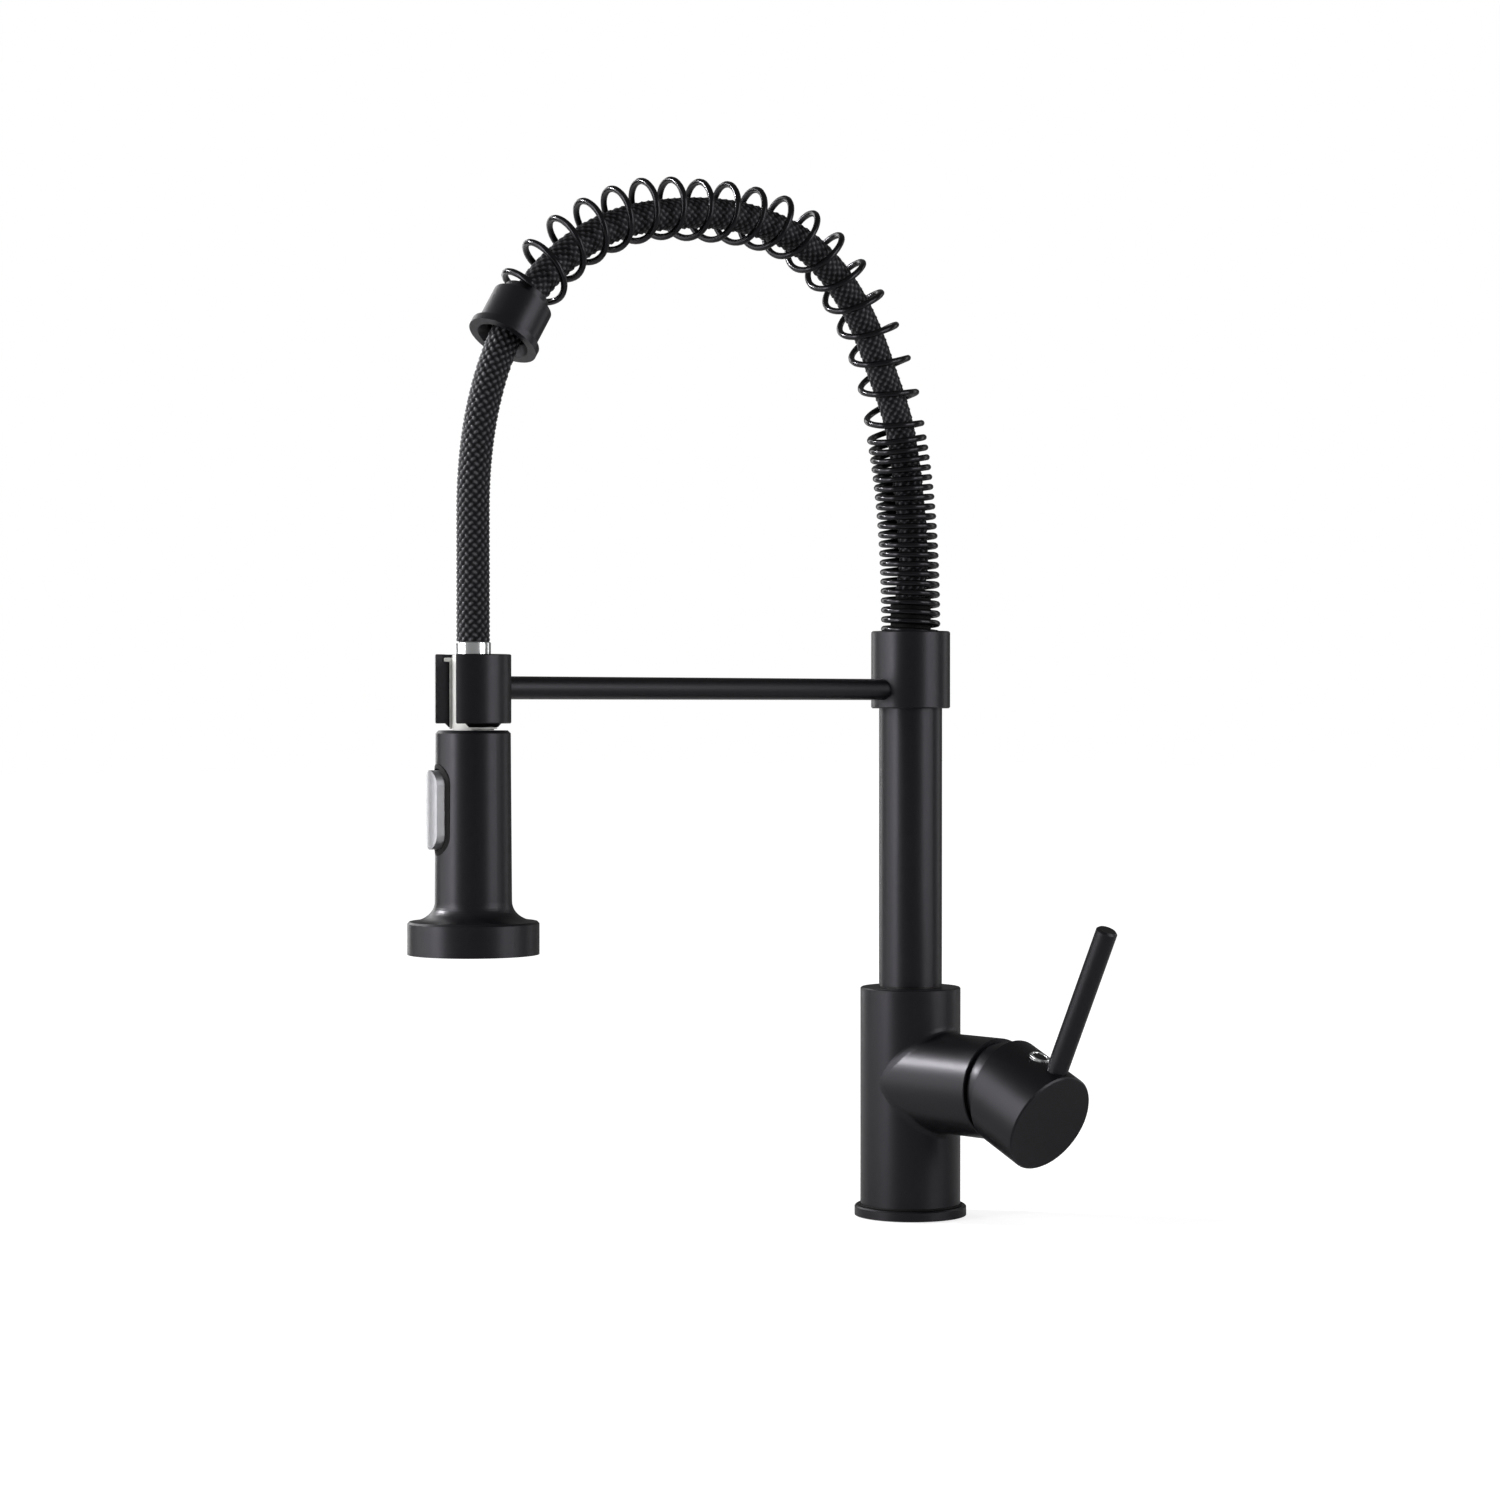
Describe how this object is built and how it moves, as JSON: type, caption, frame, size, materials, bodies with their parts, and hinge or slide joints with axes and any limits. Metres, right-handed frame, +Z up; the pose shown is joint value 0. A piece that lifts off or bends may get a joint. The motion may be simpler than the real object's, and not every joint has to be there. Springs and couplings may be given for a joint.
{
  "type": "pull down kitchen faucet",
  "caption": "Spring-neck kitchen faucet with a swivelling column, an arched hose, a docked pull-down spray head and a side lever mixer.",
  "frame": {"origin": "on the deck plane at the column's axis, under the base flange", "axes": "+Z up along the column, -Y towards the spray head, +X out of the body along the handle's branch"},
  "size_m": [0.1507, 0.3027, 0.5194],
  "materials": {
    "matte_black": "matte black powder coat",
    "black_spring": "matte black coated spring wire",
    "braid": "woven black nylon braid",
    "chrome": "polished chrome",
    "brass": "turned brass",
    "black_rubber": "moulded rubber",
    "black_plastic": "moulded plastic",
    "pale_plastic": "moulded acetal",
    "silver_plastic": "satin silver plating",
    "steel": "plain steel"
  },
  "bodies": {
    "base": {"base_ring": "matte_black", "deck_gasket": "black_rubber", "mounting_shank": "brass", "rubber_washer": "black_rubber", "steel_washer": "steel", "lock_nut": "brass", "valve_body": "matte_black", "swivel_screw": "steel", "cartridge_body": "pale_plastic", "cartridge_nut": "brass", "dome_ring": "matte_black"},
    "mixer": {"cartridge_rotor": "pale_plastic", "stem_pin": "steel"},
    "handle": {"cartridge_stem": "brass", "handle_cap": "matte_black", "lever_rod": "matte_black", "handle_screw": "steel", "index_plug": "chrome"},
    "spout": {"column": "matte_black", "swivel_washer": "black_plastic", "column_orings": "black_rubber", "collar": "matte_black", "hose_nipple": "brass", "hose_crimp": "steel", "spring": "black_spring", "spring_ferrule": "matte_black", "support_arm": "matte_black", "dock_ring": "matte_black", "dock_liner": "pale_plastic", "hose_upper": "braid"},
    "hose_end": {"hose_lower": "braid", "hose_connector": "chrome", "connector_oring": "black_rubber"},
    "spray_head": {"spray_shell": "matte_black", "spray_neck": "silver_plastic", "diverter_core": "pale_plastic", "face_carrier": "black_plastic", "spray_face": "black_plastic", "nozzle_mat": "black_rubber", "aerator": "silver_plastic", "rocker_pin": "steel"},
    "rocker": {"mode_rocker": "silver_plastic"}
  },
  "joints": [
    {"name": "spout_swivel", "type": "hinge", "parent": "base", "child": "spout", "pos_m": [0, 0, 0.1035], "axis": [0, 0, 1], "continuous": true},
    {"name": "handle_turn", "type": "hinge", "parent": "base", "child": "mixer", "pos_m": [0.06, 0, 0.0615], "axis": [1, 0, 0], "range_deg": [-45, 45]},
    {"name": "handle_lift", "type": "hinge", "parent": "mixer", "child": "handle", "pos_m": [0.06, 0, 0.0615], "axis": [0, 1, 0], "range_deg": [-25, 0]},
    {"name": "spray_pull", "type": "slide", "parent": "spout", "child": "hose_end", "axis": [0, 0, -1], "range_m": [0, 0.12], "stiffness_N_per_m": 30, "springref_m": -0.2, "deforming": ["hose_lower"]},
    {"name": "head_spin", "type": "hinge", "parent": "hose_end", "child": "spray_head", "pos_m": [0, -0.249, 0.25], "axis": [0, 0, 1], "continuous": true},
    {"name": "mode_rocker", "type": "hinge", "parent": "spray_head", "child": "rocker", "pos_m": [-0.00336, -0.26, 0.1892], "axis": [0.9563, -0.2924, 0], "range_deg": [-4, 4]}
  ]
}
